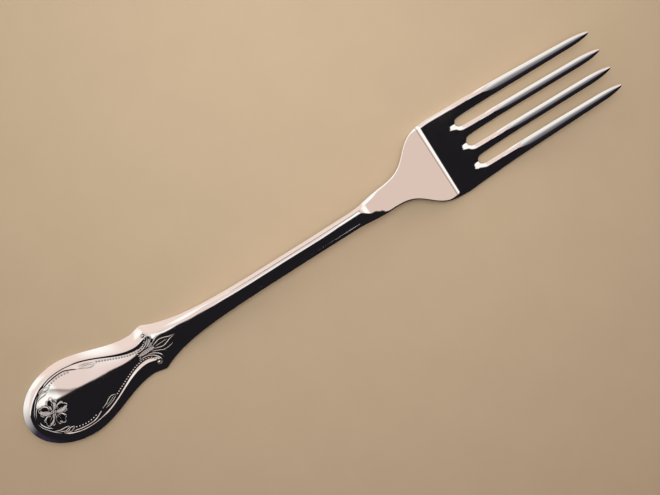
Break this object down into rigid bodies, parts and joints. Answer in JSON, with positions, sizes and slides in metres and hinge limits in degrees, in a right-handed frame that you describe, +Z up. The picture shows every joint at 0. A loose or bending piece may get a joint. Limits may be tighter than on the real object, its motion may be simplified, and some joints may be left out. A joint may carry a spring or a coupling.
{
  "type": "dessert fork",
  "caption": "Polished silver dessert fork with a spatula-shaped ornamented handle end, a slim arched stem, a spread neck and slender curved tines.",
  "frame": {"origin": "middle of the footprint, on the table the fork lies on", "axes": "+X from the handle's end to the tine tips, +Y to the left seen from the handle's end, +Z up"},
  "size_m": [0.175, 0.0218, 0.0132],
  "materials": {
    "silver": "mirror-polished silver, with light wear and dark tarnish in the ornament's recesses"
  },
  "bodies": {
    "root": {"handle_terminal": "silver", "handle_shoulder": "silver", "handle_stem": "silver", "neck": "silver", "tine_root": "silver", "tine_outer_left": "silver", "tine_inner_left": "silver", "tine_inner_right": "silver", "tine_outer_right": "silver"}
  },
  "joints": []
}
